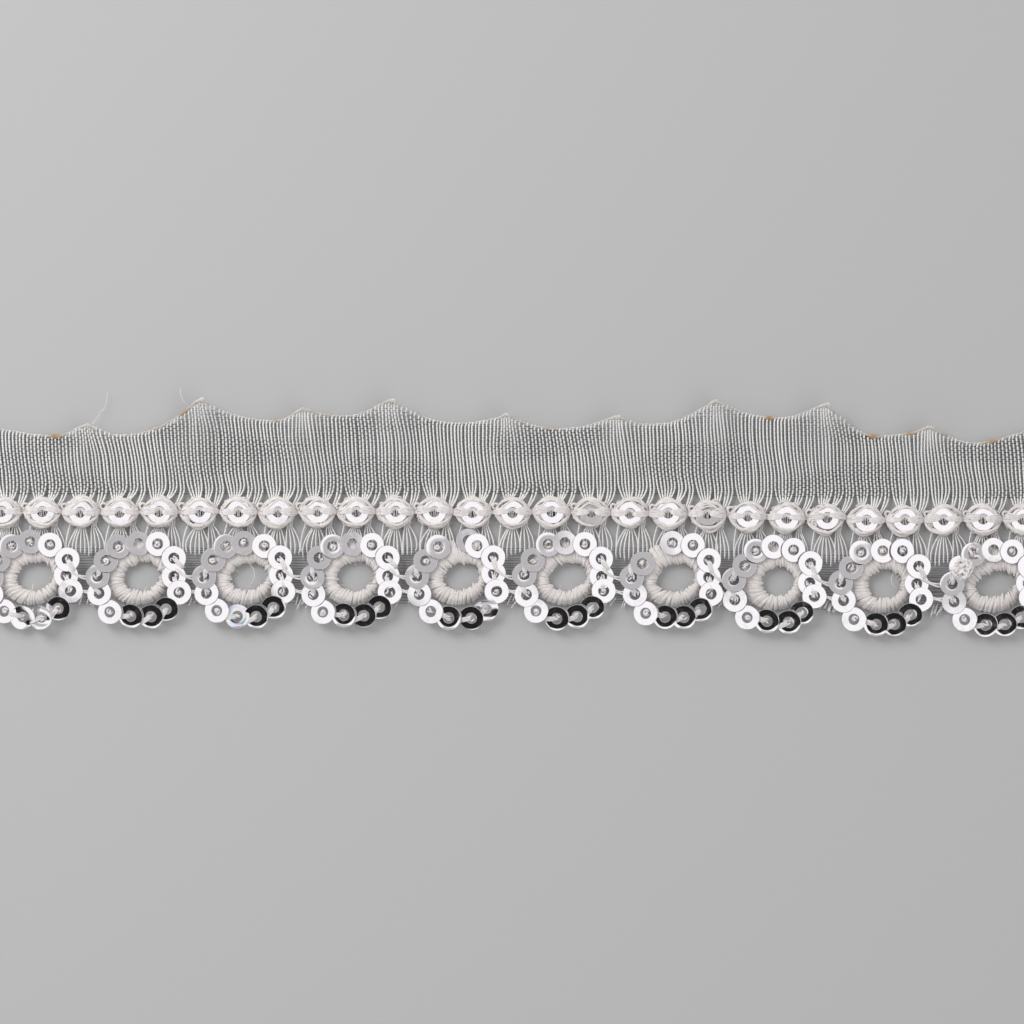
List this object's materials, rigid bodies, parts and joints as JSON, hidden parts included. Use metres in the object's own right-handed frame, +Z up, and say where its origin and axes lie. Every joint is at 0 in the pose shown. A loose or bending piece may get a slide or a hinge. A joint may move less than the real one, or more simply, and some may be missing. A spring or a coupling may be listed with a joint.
{
  "type": "sequin trim",
  "caption": "Cut length of white woven trim with a rippled header edge, padded thread rosettes each holding a silver sequin, and embroidered eyelets ringed with overlapping silver sequins.",
  "frame": {"origin": "middle of the bounding box's bottom face, on the surface the trim lies on", "axes": "+X along the trim, +Y across it towards the rippled header edge, +Z up out of the face with the sequins"},
  "size_m": [0.134, 0.0296, 0.0035],
  "materials": {
    "cloth": "matt open plain weave of white yarns over fine dark ones",
    "thread": "soft satin embroidery thread",
    "sequin": "mirror bright metallised film"
  },
  "bodies": {
    "root": {"ground_cloth": "cloth", "rosette_cord": "thread", "rosette_sequin_01": "sequin", "rosette_sequin_02": "sequin", "rosette_sequin_03": "sequin", "rosette_sequin_04": "sequin", "rosette_sequin_05": "sequin", "rosette_sequin_06": "sequin", "rosette_sequin_07": "sequin", "rosette_sequin_08": "sequin", "rosette_sequin_09": "sequin", "rosette_sequin_10": "sequin", "rosette_sequin_11": "sequin", "rosette_sequin_12": "sequin", "rosette_sequin_13": "sequin", "rosette_sequin_14": "sequin", "rosette_sequin_15": "sequin", "rosette_sequin_16": "sequin", "rosette_sequin_17": "sequin", "rosette_sequin_18": "sequin", "rosette_sequin_19": "sequin", "rosette_sequin_20": "sequin", "rosette_sequin_21": "sequin", "rosette_sequin_22": "sequin", "rosette_sequin_23": "sequin", "rosette_sequin_24": "sequin", "rosette_sequin_25": "sequin", "rosette_sequin_26": "sequin", "rosette_sequin_27": "sequin", "ring_sequins_01": "sequin", "ring_sequins_02": "sequin", "ring_sequins_03": "sequin", "ring_sequins_04": "sequin", "ring_sequins_05": "sequin", "ring_sequins_06": "sequin", "ring_sequins_07": "sequin", "ring_sequins_08": "sequin", "ring_sequins_09": "sequin", "ring_sequins_10": "sequin", "eyelet_01": "thread", "eyelet_02": "thread", "eyelet_03": "thread", "eyelet_04": "thread", "eyelet_05": "thread", "eyelet_06": "thread", "eyelet_07": "thread", "eyelet_08": "thread", "eyelet_09": "thread", "eyelet_10": "thread"}
  },
  "joints": []
}
